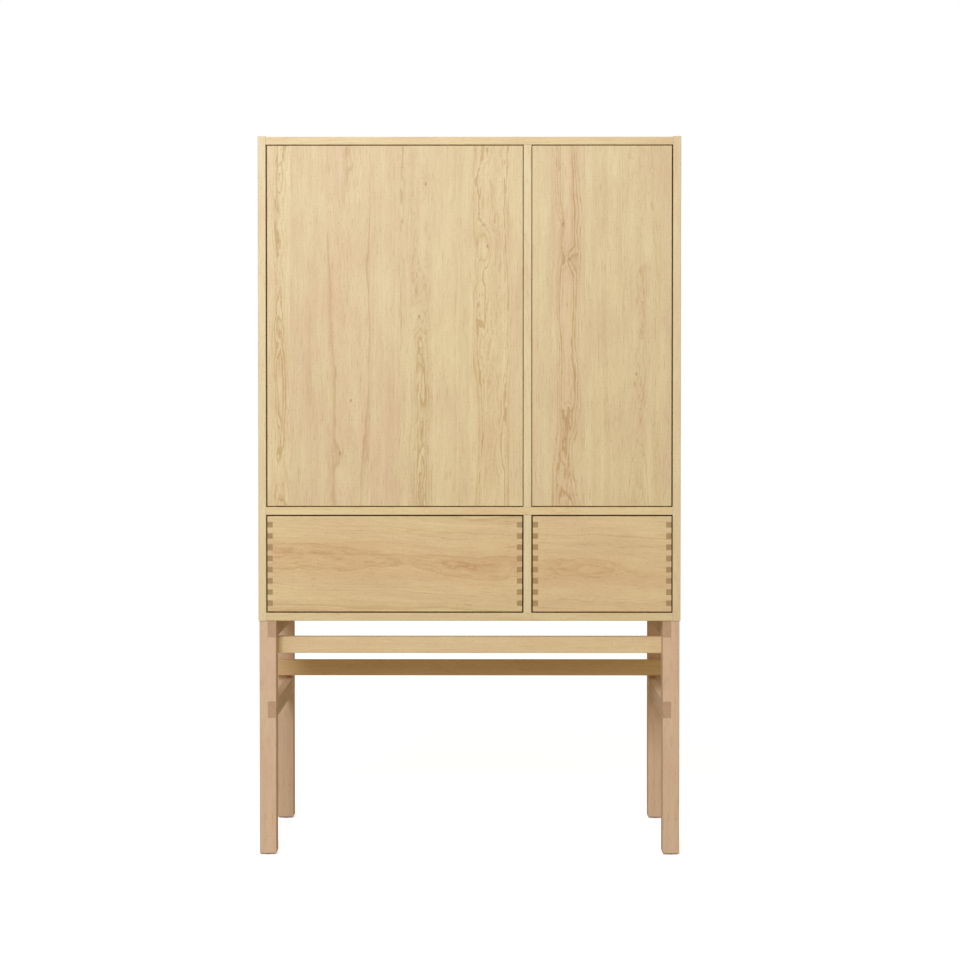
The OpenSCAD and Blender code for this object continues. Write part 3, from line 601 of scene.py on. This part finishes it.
def random_staves(seed: int, width: float, pink: float = 0.35) -> tuple[Stave, ...]:
    """Draws the staves of a glued board.

    Args:
        seed: What makes this board differ from the others.
        width: The board's width in millimetres.
        pink: How pink its staves are on average.

    Returns:
        Staves of 60 to 105 mm, of which the last takes what is left and may be narrower or up to 120 mm.
    """
    dice = random.Random(seed)
    staves = []
    left = width
    while left > 0:
        size = left if left < LAST_STAVE else dice.uniform(60, 105)
        arched = dice.random() < 0.5
        staves.append(Stave(
            width=size,
            pith=size * dice.uniform(0.3, 0.7) if arched else dice.choice((-1, 1)) * dice.uniform(90, 150),
            depth=dice.uniform(16, 40) if arched else dice.uniform(30, 80),
            slope=dice.choice((-1, 1)) * dice.uniform(0.015, 0.035),
            pink=min(1.0, max(0.0, pink + dice.uniform(-0.35, 0.35))),
            tone=dice.uniform(0.3, 0.7),
            wave=dice.uniform(0.35, 0.9) if arched else dice.uniform(0.15, 0.4)))
        left -= size
    return tuple(staves)


# ---------------------------------------------------------------- finishes: other materials


@dataclass(frozen=True)
class BirchPly:
    """Birch plywood: a rotary-cut face with broad soft figure and a striped edge of thin layers."""

    name: str = "birch_ply_rotary_cut"
    light: str = "#E0CFA8"
    dark: str = "#C9B084"
    edge: str = "#A98558"
    layer: float = 1.2

    def make(self, lie: Lie) -> bpy.types.Material:
        """Builds the material for a sheet.

        Args:
            lie: How the sheet lies.

        Returns:
            The finished material.
        """
        material, tree = new_material(self.name + "_" + lie.name.lower())
        width_axis, thick_axis, length_axis = lie.value
        place = add_node(tree, "ShaderNodeTexCoord")
        axes = add_node(tree, "ShaderNodeSeparateXYZ", {0: place.outputs["Object"]})
        turned = add_node(tree, "ShaderNodeCombineXYZ", {
            0: axes.outputs[width_axis], 1: axes.outputs[thick_axis], 2: axes.outputs[length_axis]})
        # Rotary cutting unrolls the log, so the figure is broad: about 60 mm across, 700 mm along.
        broad = add_node(tree, "ShaderNodeTexNoise", {
            "Vector": add_node(tree, "ShaderNodeVectorMath", {
                0: turned, 1: (1 / (60 * MM), 0.0, 1 / (700 * MM))}, operation="MULTIPLY"),
            "Scale": 1.0, "Detail": 2.0})
        contour = add_node(tree, "ShaderNodeMath", {0: broad, 1: 9.0}, operation="MULTIPLY")
        rings = add_node(tree, "ShaderNodeMath", {0: contour}, operation="SINE")
        fibre = add_node(tree, "ShaderNodeTexNoise", {
            "Vector": add_node(tree, "ShaderNodeVectorMath", {
                0: turned, 1: (1 / (1.1 * MM), 1 / (1.1 * MM), 1 / (35 * MM))}, operation="MULTIPLY"),
            "Scale": 1.0, "Detail": 3.0, "Roughness": 0.6})
        mixed = add_node(tree, "ShaderNodeMath", {
            0: rings, 1: 0.14, 2: add_node(tree, "ShaderNodeMapRange", {
                "Value": fibre, "From Min": 0.3, "From Max": 0.7, "To Min": 0.05, "To Max": 0.75})},
            operation="MULTIPLY_ADD")
        face = add_node(tree, "ShaderNodeMix", {
            0: mixed, 6: linear(self.light), 7: linear(self.dark)}, data_type="RGBA")
        plies = add_node(tree, "ShaderNodeMath", {0: add_node(tree, "ShaderNodeMath", {
            0: axes.outputs[thick_axis], 1: math.pi / (self.layer * MM)}, operation="MULTIPLY")},
            operation="SINE")
        sides = add_node(tree, "ShaderNodeSeparateXYZ", {0: place.outputs["Normal"]})
        on_edge = add_node(tree, "ShaderNodeMapRange", {
            "Value": add_node(tree, "ShaderNodeMath", {0: sides.outputs[thick_axis]},
                              operation="ABSOLUTE"),
            "From Min": 0.3, "From Max": 0.7, "To Min": 1.0, "To Max": 0.0})
        striped = add_node(tree, "ShaderNodeMath", {0: on_edge, 1: add_node(tree, "ShaderNodeMapRange", {
            "Value": plies, "From Min": -0.3, "From Max": 0.3})}, operation="MULTIPLY")
        colour = add_node(tree, "ShaderNodeMix", {
            0: striped, 6: face.outputs[2], 7: linear(self.edge)}, data_type="RGBA")
        relief = add_node(tree, "ShaderNodeBump", {
            "Height": fibre, "Strength": 0.2, "Distance": 0.1 * MM})
        shader = add_node(tree, "ShaderNodeBsdfPrincipled", {
            "Base Color": colour.outputs[2], "Roughness": 0.55, "Normal": relief})
        add_node(tree, "ShaderNodeOutputMaterial", {"Surface": shader})
        return material


@dataclass(frozen=True)
class Metal:
    """A bare or plated metal with fine marks from rolling, pressing or brushing."""

    name: str
    colour: str
    stain: str
    roughness: float
    mark: tuple[float, float, float] = (0.4, 0.4, 0.4)

    def make(self) -> bpy.types.Material:
        """Builds the material, whose colour and gloss drift with its marks.

        Returns:
            The finished material.
        """
        material, tree = new_material(self.name)
        place = add_node(tree, "ShaderNodeTexCoord")
        marks = add_node(tree, "ShaderNodeTexNoise", {
            "Vector": add_node(tree, "ShaderNodeVectorMath", {
                0: place.outputs["Object"], 1: tuple(1 / (side * MM) for side in self.mark)},
                operation="MULTIPLY"), "Scale": 1.0, "Detail": 2.0})
        clouds = add_node(tree, "ShaderNodeTexNoise", {
            "Vector": place.outputs["Object"], "Scale": 1 / (14 * MM), "Detail": 2.0})
        colour = add_node(tree, "ShaderNodeMix", {
            0: clouds, 6: linear(self.colour), 7: linear(self.stain)}, data_type="RGBA")
        gloss = add_node(tree, "ShaderNodeMapRange", {
            "Value": marks, "From Min": 0.3, "From Max": 0.7,
            "To Min": self.roughness - 0.08, "To Max": self.roughness + 0.1})
        relief = add_node(tree, "ShaderNodeBump", {
            "Height": marks, "Strength": 0.15, "Distance": 0.03 * MM})
        shader = add_node(tree, "ShaderNodeBsdfPrincipled", {
            "Base Color": colour.outputs[2], "Metallic": 1.0, "Roughness": gloss, "Normal": relief})
        add_node(tree, "ShaderNodeOutputMaterial", {"Surface": shader})
        return material


@dataclass(frozen=True)
class MouldedPlastic:
    """Injection-moulded plastic: one colour with faint flow clouds and a fine spark-eroded grain."""

    name: str
    colour: str
    cloud: str
    roughness: float
    grain: float = 0.35

    def make(self) -> bpy.types.Material:
        """Builds the material.

        Returns:
            The finished material.
        """
        material, tree = new_material(self.name)
        place = add_node(tree, "ShaderNodeTexCoord")
        flow = add_node(tree, "ShaderNodeTexNoise", {
            "Vector": place.outputs["Object"], "Scale": 1 / (22 * MM), "Detail": 2.0})
        fine = add_node(tree, "ShaderNodeTexNoise", {
            "Vector": place.outputs["Object"], "Scale": 1 / (self.grain * MM), "Detail": 1.0})
        colour = add_node(tree, "ShaderNodeMix", {
            0: flow, 6: linear(self.colour), 7: linear(self.cloud)}, data_type="RGBA")
        gloss = add_node(tree, "ShaderNodeMapRange", {
            "Value": fine, "From Min": 0.3, "From Max": 0.7,
            "To Min": self.roughness - 0.05, "To Max": self.roughness + 0.06})
        relief = add_node(tree, "ShaderNodeBump", {
            "Height": fine, "Strength": 0.2, "Distance": 0.02 * MM})
        shader = add_node(tree, "ShaderNodeBsdfPrincipled", {
            "Base Color": colour.outputs[2], "Roughness": gloss, "IOR": 1.5, "Normal": relief})
        add_node(tree, "ShaderNodeOutputMaterial", {"Surface": shader})
        return material


# ---------------------------------------------------------------- sub-assemblies


def oak(node: str, palette: Palette, lie: Lie, staves: tuple[Stave, ...], **extra: Any) -> None:
    """Dresses one CAD board in soaped oak cut for it.

    Args:
        node: The CAD node's name.
        palette: The board's colours.
        lie: How the board lies.
        staves: Its staves, in order across its width.
        **extra: Other fields of the finish.
    """
    low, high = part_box(node)
    dress(node, SoapedOak("soaped_oak_" + node, palette, lie, staves, **extra).make(low, high))


@dataclass
class Stand:
    """Four square legs, half-lapped side rails and two stretchers."""

    leg_width: float = 38.0
    rail_height: float = 38.0

    def build(self) -> None:
        """Dresses the legs, rails and stretchers."""
        legs = ("front_leg_left", "front_leg_right", "rear_leg_left", "rear_leg_right")
        for number, node in enumerate(legs):
            stave = Stave(self.leg_width, pith=-60.0 - 9 * number, depth=50.0 + 8 * number,
                          slope=0.012, pink=0.75, tone=0.42, wave=0.35)
            oak(node, OAK_LEG, Lie.UPRIGHT_FRONT, (stave,), ring=2.2, band=7.0)
        rails = ("upper_side_rail_left", "upper_side_rail_right",
                 "lower_side_rail_left", "lower_side_rail_right")
        for number, node in enumerate(rails):
            stave = Stave(self.rail_height, pith=18.0 + 5 * number, depth=26.0 + 4 * number,
                          slope=0.015, pink=0.6, tone=0.4, wave=0.35)
            oak(node, OAK_LEG, Lie.EDGE_DEEP, (stave,), ring=2.2, band=7.0)
        # The rear stretcher takes the darker, warmer copy of the stretcher oak, as painted shade from the
        # case above it.
        for number, node in enumerate(("front_stretcher", "rear_stretcher")):
            stave = Stave(self.rail_height, pith=70.0, depth=46.0 + 10 * number,
                          slope=0.01, pink=0.2, tone=0.5, wave=0.3)
            oak(node, (OAK_STRETCHER, OAK_REAR_PAINTED_SHADE)[number], Lie.EDGE_ACROSS, (stave,), ring=2.2, band=7.0)


@dataclass
class Case:
    """The carcass: sides, panels, dividers and the back."""

    depth: float = 400.0
    divider_depth: float = 392.0

    def build(self) -> None:
        """Dresses the carcass boards."""
        for number, node in enumerate(("side_panel_left", "side_panel_right")):
            oak(node, OAK_CASE, Lie.UPRIGHT_SIDE, random_staves(11 + number, self.depth, 0.2))
        for number, node in enumerate(("top_panel", "middle_panel", "bottom_panel")):
            oak(node, OAK_PANEL, Lie.FLAT_ACROSS, random_staves(21 + number, self.depth, 0.15))
        for number, node in enumerate(("upper_divider", "lower_divider")):
            oak(node, OAK_CASE, Lie.UPRIGHT_SIDE, random_staves(31 + number, self.divider_depth, 0.2))
        dress("back_panel", BirchPly().make(Lie.UPRIGHT_FRONT))


@dataclass
class Shelves:
    """Two shelves behind each door, on brass pins."""

    depth: float = 347.0

    def build(self) -> None:
        """Dresses the shelves."""
        nodes = ("large_shelf_lower", "large_shelf_upper", "small_shelf_lower", "small_shelf_upper")
        for number, node in enumerate(nodes):
            oak(node, OAK_PANEL, Lie.FLAT_ACROSS, random_staves(41 + number, self.depth, 0.25))


@dataclass
class ShelfPins:
    """Sixteen turned brass pins, each with a stem in the board, a thin collar and a round peg.

    The collar lies in the gap between a shelf's end and the board, and the shelf rests on the peg.
    """

    stem_d: float = 5.0
    stem_l: float = 8.0
    collar_d: float = 7.5
    collar_t: float = 0.8
    peg_l: float = 7.2
    rounding: float = 0.25
    facets: int = 32

    def build(self, brass: bpy.types.Material) -> None:
        """Models one pin and sets a copy under each corner of every shelf.

        Args:
            brass: The pins' finish.
        """
        pattern = self._model()
        pattern.data.materials.append(brass)
        for number, (place, faces_left) in enumerate(self._places(), start=1):
            pin = pattern.copy()
            pin.data = pattern.data.copy()
            pin.name = f"shelf_pin_{number:02d}"
            bpy.context.collection.objects.link(pin)
            pin.location = place
            pin.rotation_euler.z = math.pi if faces_left else 0.0
            select_only(pin)
            bpy.ops.object.transform_apply(location=True, rotation=True, scale=True)
            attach(pin, "case")
            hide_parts("shelf_pins")
            LOG.info("set %s in %s", pin.name, brass.name)
        bpy.data.objects.remove(pattern)

    def _places(self) -> list[tuple[tuple[float, float, float], bool]]:
        """Works out where each pin leaves its board, from the boards and shelves.

        Returns:
            Each pin's place in metres, and whether it points left.
        """
        low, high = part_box("shelf_pins")
        half = self.stem_d * MM / 2
        divider_low, divider_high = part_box("upper_divider")
        walls = ((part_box("side_panel_left")[1].x, False), (divider_low.x, True),
                 (divider_high.x, False), (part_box("side_panel_right")[0].x, True))
        heights = [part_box(shelf)[0].z - half for shelf in ("large_shelf_lower", "large_shelf_upper")]
        return [((wall, y, z), faces_left) for z in heights for y in (low.y + half, high.y - half)
                for wall, faces_left in walls]

    def _model(self) -> bpy.types.Object:
        """Turns one pin along X, with its board's face at the origin.

        Returns:
            The pin.
        """
        flare = self.collar_d / self.stem_d
        bpy.ops.object.select_all(action="DESELECT")
        bpy.ops.mesh.primitive_cylinder_add(
            vertices=self.facets, radius=self.stem_d * MM / 2, depth=self.stem_l * MM,
            location=(-self.stem_l * MM / 2, 0.0, 0.0), rotation=(0.0, math.pi / 2, 0.0))
        pin = bpy.context.object
        bpy.ops.object.transform_apply(location=True, rotation=True, scale=True)
        for face in pin.data.polygons:
            face.select = face.normal.x > 0.9
        bpy.ops.object.mode_set(mode="EDIT")
        bpy.ops.mesh.select_mode(type="FACE")
        for width, length in ((flare, self.collar_t), (1 / flare, self.peg_l)):
            bpy.ops.mesh.extrude_region_move(TRANSFORM_OT_translate={"value": (0.0, 0.0, 0.0)})
            bpy.ops.transform.resize(value=(1.0, width, width), center_override=(0.0, 0.0, 0.0))
            bpy.ops.mesh.extrude_region_move(TRANSFORM_OT_translate={"value": (length * MM, 0.0, 0.0)})
        bpy.ops.mesh.select_all(action="SELECT")
        bpy.ops.mesh.normals_make_consistent(inside=False)
        bpy.ops.object.mode_set(mode="OBJECT")
        bpy.ops.object.modifier_add(type="BEVEL")
        bevel = pin.modifiers[-1]
        bevel.width = self.rounding * MM
        bevel.segments = 3
        bevel.limit_method = "ANGLE"
        bevel.angle_limit = math.radians(40)
        bpy.ops.object.modifier_apply(modifier=bevel.name)
        bpy.ops.object.shade_smooth_by_angle(angle=math.radians(35))
        return pin


LARGE_DOOR_STAVES = (
    Stave(51, pith=30, depth=13, slope=0.012, pink=0.2, tone=0.68, wave=0.9),
    Stave(83, pith=-100, depth=70, slope=0.01, pink=0.55, tone=0.46, wave=0.35),
    Stave(97, pith=52, depth=52, slope=-0.024, pink=0.6, tone=0.48, wave=0.55),
    Stave(68, pith=150, depth=80, slope=0.01, pink=0.6, tone=0.47, wave=0.3),
    Stave(75, pith=48, depth=13, slope=0.022, pink=0.25, tone=0.5, wave=0.85),
    Stave(90, pith=190, depth=60, slope=0.012, pink=0.15, tone=0.6, wave=0.3),
    Stave(83, pith=46, depth=11, slope=0.010, pink=0.2, tone=0.68, wave=1.0),
    Stave(32, pith=-90, depth=60, slope=0.01, pink=0.4, tone=0.6, wave=0.3),
)

SMALL_DOOR_STAVES = (
    Stave(43, pith=120, depth=60, slope=0.01, pink=0.45, tone=0.5, wave=0.3),
    Stave(76, pith=36, depth=13, slope=-0.016, pink=0.6, tone=0.54, wave=0.95),
    Stave(84, pith=-95, depth=60, slope=0.01, pink=0.2, tone=0.54, wave=0.3),
    Stave(83, pith=38, depth=22, slope=0.02, pink=0.3, tone=0.5, wave=0.75),
    Stave(29, pith=110, depth=60, slope=0.01, pink=0.4, tone=0.46, wave=0.3),
)


@dataclass
class Door:
    """A flush door of edge-glued staves."""

    name: str
    staves: tuple[Stave, ...]
    knots: tuple[Knot, ...]

    def build(self) -> None:
        """Dresses the door's panel."""
        oak(self.name + "_panel", OAK_DOOR, Lie.UPRIGHT_FRONT, self.staves, knots=self.knots)


DRAWER_HEIGHT = 217


@dataclass
class Drawer:
    """A drawer with a finger-jointed front and a birch bottom."""

    name: str
    plank: Stave

    def build(self) -> None:
        """Dresses the drawer's boards."""
        oak(self.name + "_front", OAK_DRAWER, Lie.EDGE_ACROSS, (self.plank,),
            tilt=math.radians(-2.5), band=16.0, contrast=0.85, heart=84.0)
        for number, side in enumerate(("side_left", "side_right")):
            cut = Stave(DRAWER_HEIGHT, pith=90 + 40 * number, depth=40, slope=0.02,
                        pink=0.35, tone=0.42, wave=0.7)
            oak(f"{self.name}_{side}", OAK_DRAWER, Lie.EDGE_DEEP, (cut,))
        cut = Stave(DRAWER_HEIGHT, pith=140, depth=36, slope=0.015, pink=0.3, tone=0.45, wave=0.7)
        oak(self.name + "_back", OAK_DRAWER, Lie.EDGE_ACROSS, (cut,))
        dress(self.name + "_bottom", BirchPly().make(Lie.FLAT_ACROSS))


@dataclass
class Hardware:
    """Hinges, latches, runners, screws, pins, dowels and glides."""

    def build(self) -> None:
        """Dresses the fittings by their material."""
        zinc = Metal("zinc_plated_steel_pressed", "#B9BCC0", "#9EA2A8", 0.34).make()
        brass = Metal("satin_brass_milled", "#B79A5B", "#A5854A", 0.3, (2.0, 0.15, 2.0)).make()
        nylon = MouldedPlastic("natural_nylon_moulded", "#E8E6DF", "#DDD9CD", 0.42).make()
        oiled_nylon = MouldedPlastic("oil_filled_nylon_moulded", "#6E5A40", "#63503A", 0.4).make()
        grey = MouldedPlastic("grey_abs_moulded", "#8E8F90", "#828384", 0.5).make()
        beech_stave = Stave(8.0, pith=-30.0, depth=40.0, pink=0.6, tone=0.5, wave=0.2)
        low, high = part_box("joint_dowels")
        beech = SoapedOak("turned_beech_dowel", Palette(
            "#D9BB92", "#C29C70", "#A07850", "#FFFBF0", "#FBEAEA", "#D9C4A8"),
            Lie.UPRIGHT_FRONT, (beech_stave,)).make(low, high)
        finishes = {
            zinc: ("back_panel_screws", "case_runner_rails", "large_drawer_mid_rails",
                   "large_drawer_rails", "small_drawer_mid_rails", "small_drawer_rails",
                   "runner_screws", "stand_fixing_screws", "latch_screws",
                   "large_door_strike_plate", "small_door_strike_plate",
                   "large_door_screws", "small_door_screws"),
            brass: ("case_hinge_plates", "case_hinge_screws", "large_door_hinge_plates",
                    "small_door_hinge_plates"),
            oiled_nylon: ("hinge_washers",),
            nylon: ("large_door_latch_plunger", "small_door_latch_plunger",
                    "leg_glides"),
            grey: ("latch_bodies", "large_drawer_clips", "small_drawer_clips"),
            beech: ("joint_dowels",),
        }
        for finish, nodes in finishes.items():
            for node in nodes:
                dress(node, finish)
        ShelfPins().build(brass)


@dataclass
class Studio:
    """The floor, the lights and the camera, with their places and sizes in metres."""

    camera_place: tuple[float, float, float] = (0.036, -4.2, 1.019)
    camera_pitch: float = -0.78
    camera_yaw: float = 0.17
    lens: float = 66.08
    shift: float = -0.05
    backdrop: float = 1.0
    sky: float = 0.6
    key_place: tuple[float, float, float] = (-1.0, -3.8, 3.0)
    key_size: float = 1.5
    key_power: float = 116.0
    key_colour: tuple[float, float, float] = (0.9, 1.0, 1.22)
    key_aim: tuple[float, float, float] = (0.0, -0.2, 1.1)
    floor_size: float = 120.0

    def build(self) -> None:
        """Sets up the studio."""
        self._floor()
        self._lights()
        self._camera()
        bpy.context.scene.view_settings.view_transform = "Standard"

    def _floor(self) -> None:
        """Lays a wide white floor, lit from below like a light table and a little warm above."""
        bpy.ops.mesh.primitive_plane_add(size=self.floor_size, location=(0.0, 0.0, 0.0))
        floor = bpy.context.object
        floor.name = "studio_floor"
        material, tree = new_material("white_light_table")
        place = add_node(tree, "ShaderNodeTexCoord")
        tooth = add_node(tree, "ShaderNodeTexNoise", {
            "Vector": place.outputs["Object"], "Scale": 1 / (3 * MM), "Detail": 2.0})
        shade = add_node(tree, "ShaderNodeMix", {
            0: tooth, 6: (0.93, 0.93, 0.93, 1.0), 7: (0.91, 0.91, 0.91, 1.0)}, data_type="RGBA")
        seen = add_node(tree, "ShaderNodeBsdfPrincipled", {
            "Base Color": shade.outputs[2], "Roughness": 0.9, "Specular IOR Level": 0.0,
            "Emission Color": (0.92, 0.94, 1.0, 1.0), "Emission Strength": 0.6})
        bounced = add_node(tree, "ShaderNodeBsdfDiffuse", {"Color": (0.44, 0.38, 0.29, 1.0)})
        ray = add_node(tree, "ShaderNodeLightPath")
        both = add_node(tree, "ShaderNodeMixShader", {
            0: ray.outputs["Is Camera Ray"], 1: bounced, 2: seen})
        add_node(tree, "ShaderNodeOutputMaterial", {"Surface": both})
        floor.data.materials.append(material)

    def _lights(self) -> None:
        """Adds an even sky, whose seen colour meets the floor, and a softbox from the left front."""
        world = bpy.data.worlds.new("studio_sky")
        bpy.context.scene.world = world
        world.use_nodes = True
        tree = world.node_tree
        tree.nodes.clear()
        seen = add_node(tree, "ShaderNodeBackground", {
            "Color": (self.backdrop, self.backdrop, self.backdrop, 1.0), "Strength": 1.0})
        lit = add_node(tree, "ShaderNodeBackground", {
            "Color": (1.0, 0.95, 0.76, 1.0), "Strength": self.sky})
        ray = add_node(tree, "ShaderNodeLightPath")
        both = add_node(tree, "ShaderNodeMixShader", {
            0: ray.outputs["Is Camera Ray"], 1: lit, 2: seen})
        add_node(tree, "ShaderNodeOutputWorld", {"Surface": both})
        bpy.ops.object.light_add(type="AREA", location=self.key_place)
        key = bpy.context.object
        key.name = "key_softbox"
        key.data.energy = self.key_power
        key.data.size = self.key_size
        key.data.color = self.key_colour
        away = Vector(self.key_place) - Vector(self.key_aim)
        key.rotation_euler = away.to_track_quat("Z", "Y").to_euler()

    def _camera(self) -> None:
        """Places the camera in front of the armoire, at about the height of its waist."""
        bpy.ops.object.camera_add(location=self.camera_place, rotation=(
            math.radians(90 + self.camera_pitch), 0.0, math.radians(self.camera_yaw)))
        camera = bpy.context.object
        camera.data.sensor_width = 36.0
        camera.data.lens = self.lens
        camera.data.shift_y = self.shift
        camera.data.clip_end = 200.0
        bpy.context.scene.camera = camera


def main() -> None:
    """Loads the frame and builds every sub-assembly in order."""
    logging.basicConfig(level=logging.INFO, format="%(name)s: %(message)s")
    for leftover in list(bpy.data.objects):
        bpy.data.objects.remove(leftover)
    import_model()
    bpy.ops.object.select_all(action="DESELECT")
    Studio().build()
    Stand().build()
    Case().build()
    Shelves().build()
    Door("large_door", LARGE_DOOR_STAVES, (
        Knot(360, 730, 16, 6), Knot(345, 430, 26, 10), Knot(500, 590, 30, 12), Knot(190, 240, 30, 9),
        Knot(165, 120, 24, 8))).build()
    Door("small_door", SMALL_DOOR_STAVES, (
        Knot(84, 560, 26, 10), Knot(70, 640, 18, 7), Knot(236, 300, 14, 4))).build()
    Drawer("large_drawer", Stave(
        DRAWER_HEIGHT, pith=128, depth=22, slope=0.02, pink=0.3, tone=0.6, wave=0.9)).build()
    Drawer("small_drawer", Stave(
        DRAWER_HEIGHT, pith=96, depth=34, slope=0.03, pink=0.5, tone=0.6, wave=0.8)).build()
    Hardware().build()


if __name__ == "__main__":
    main()
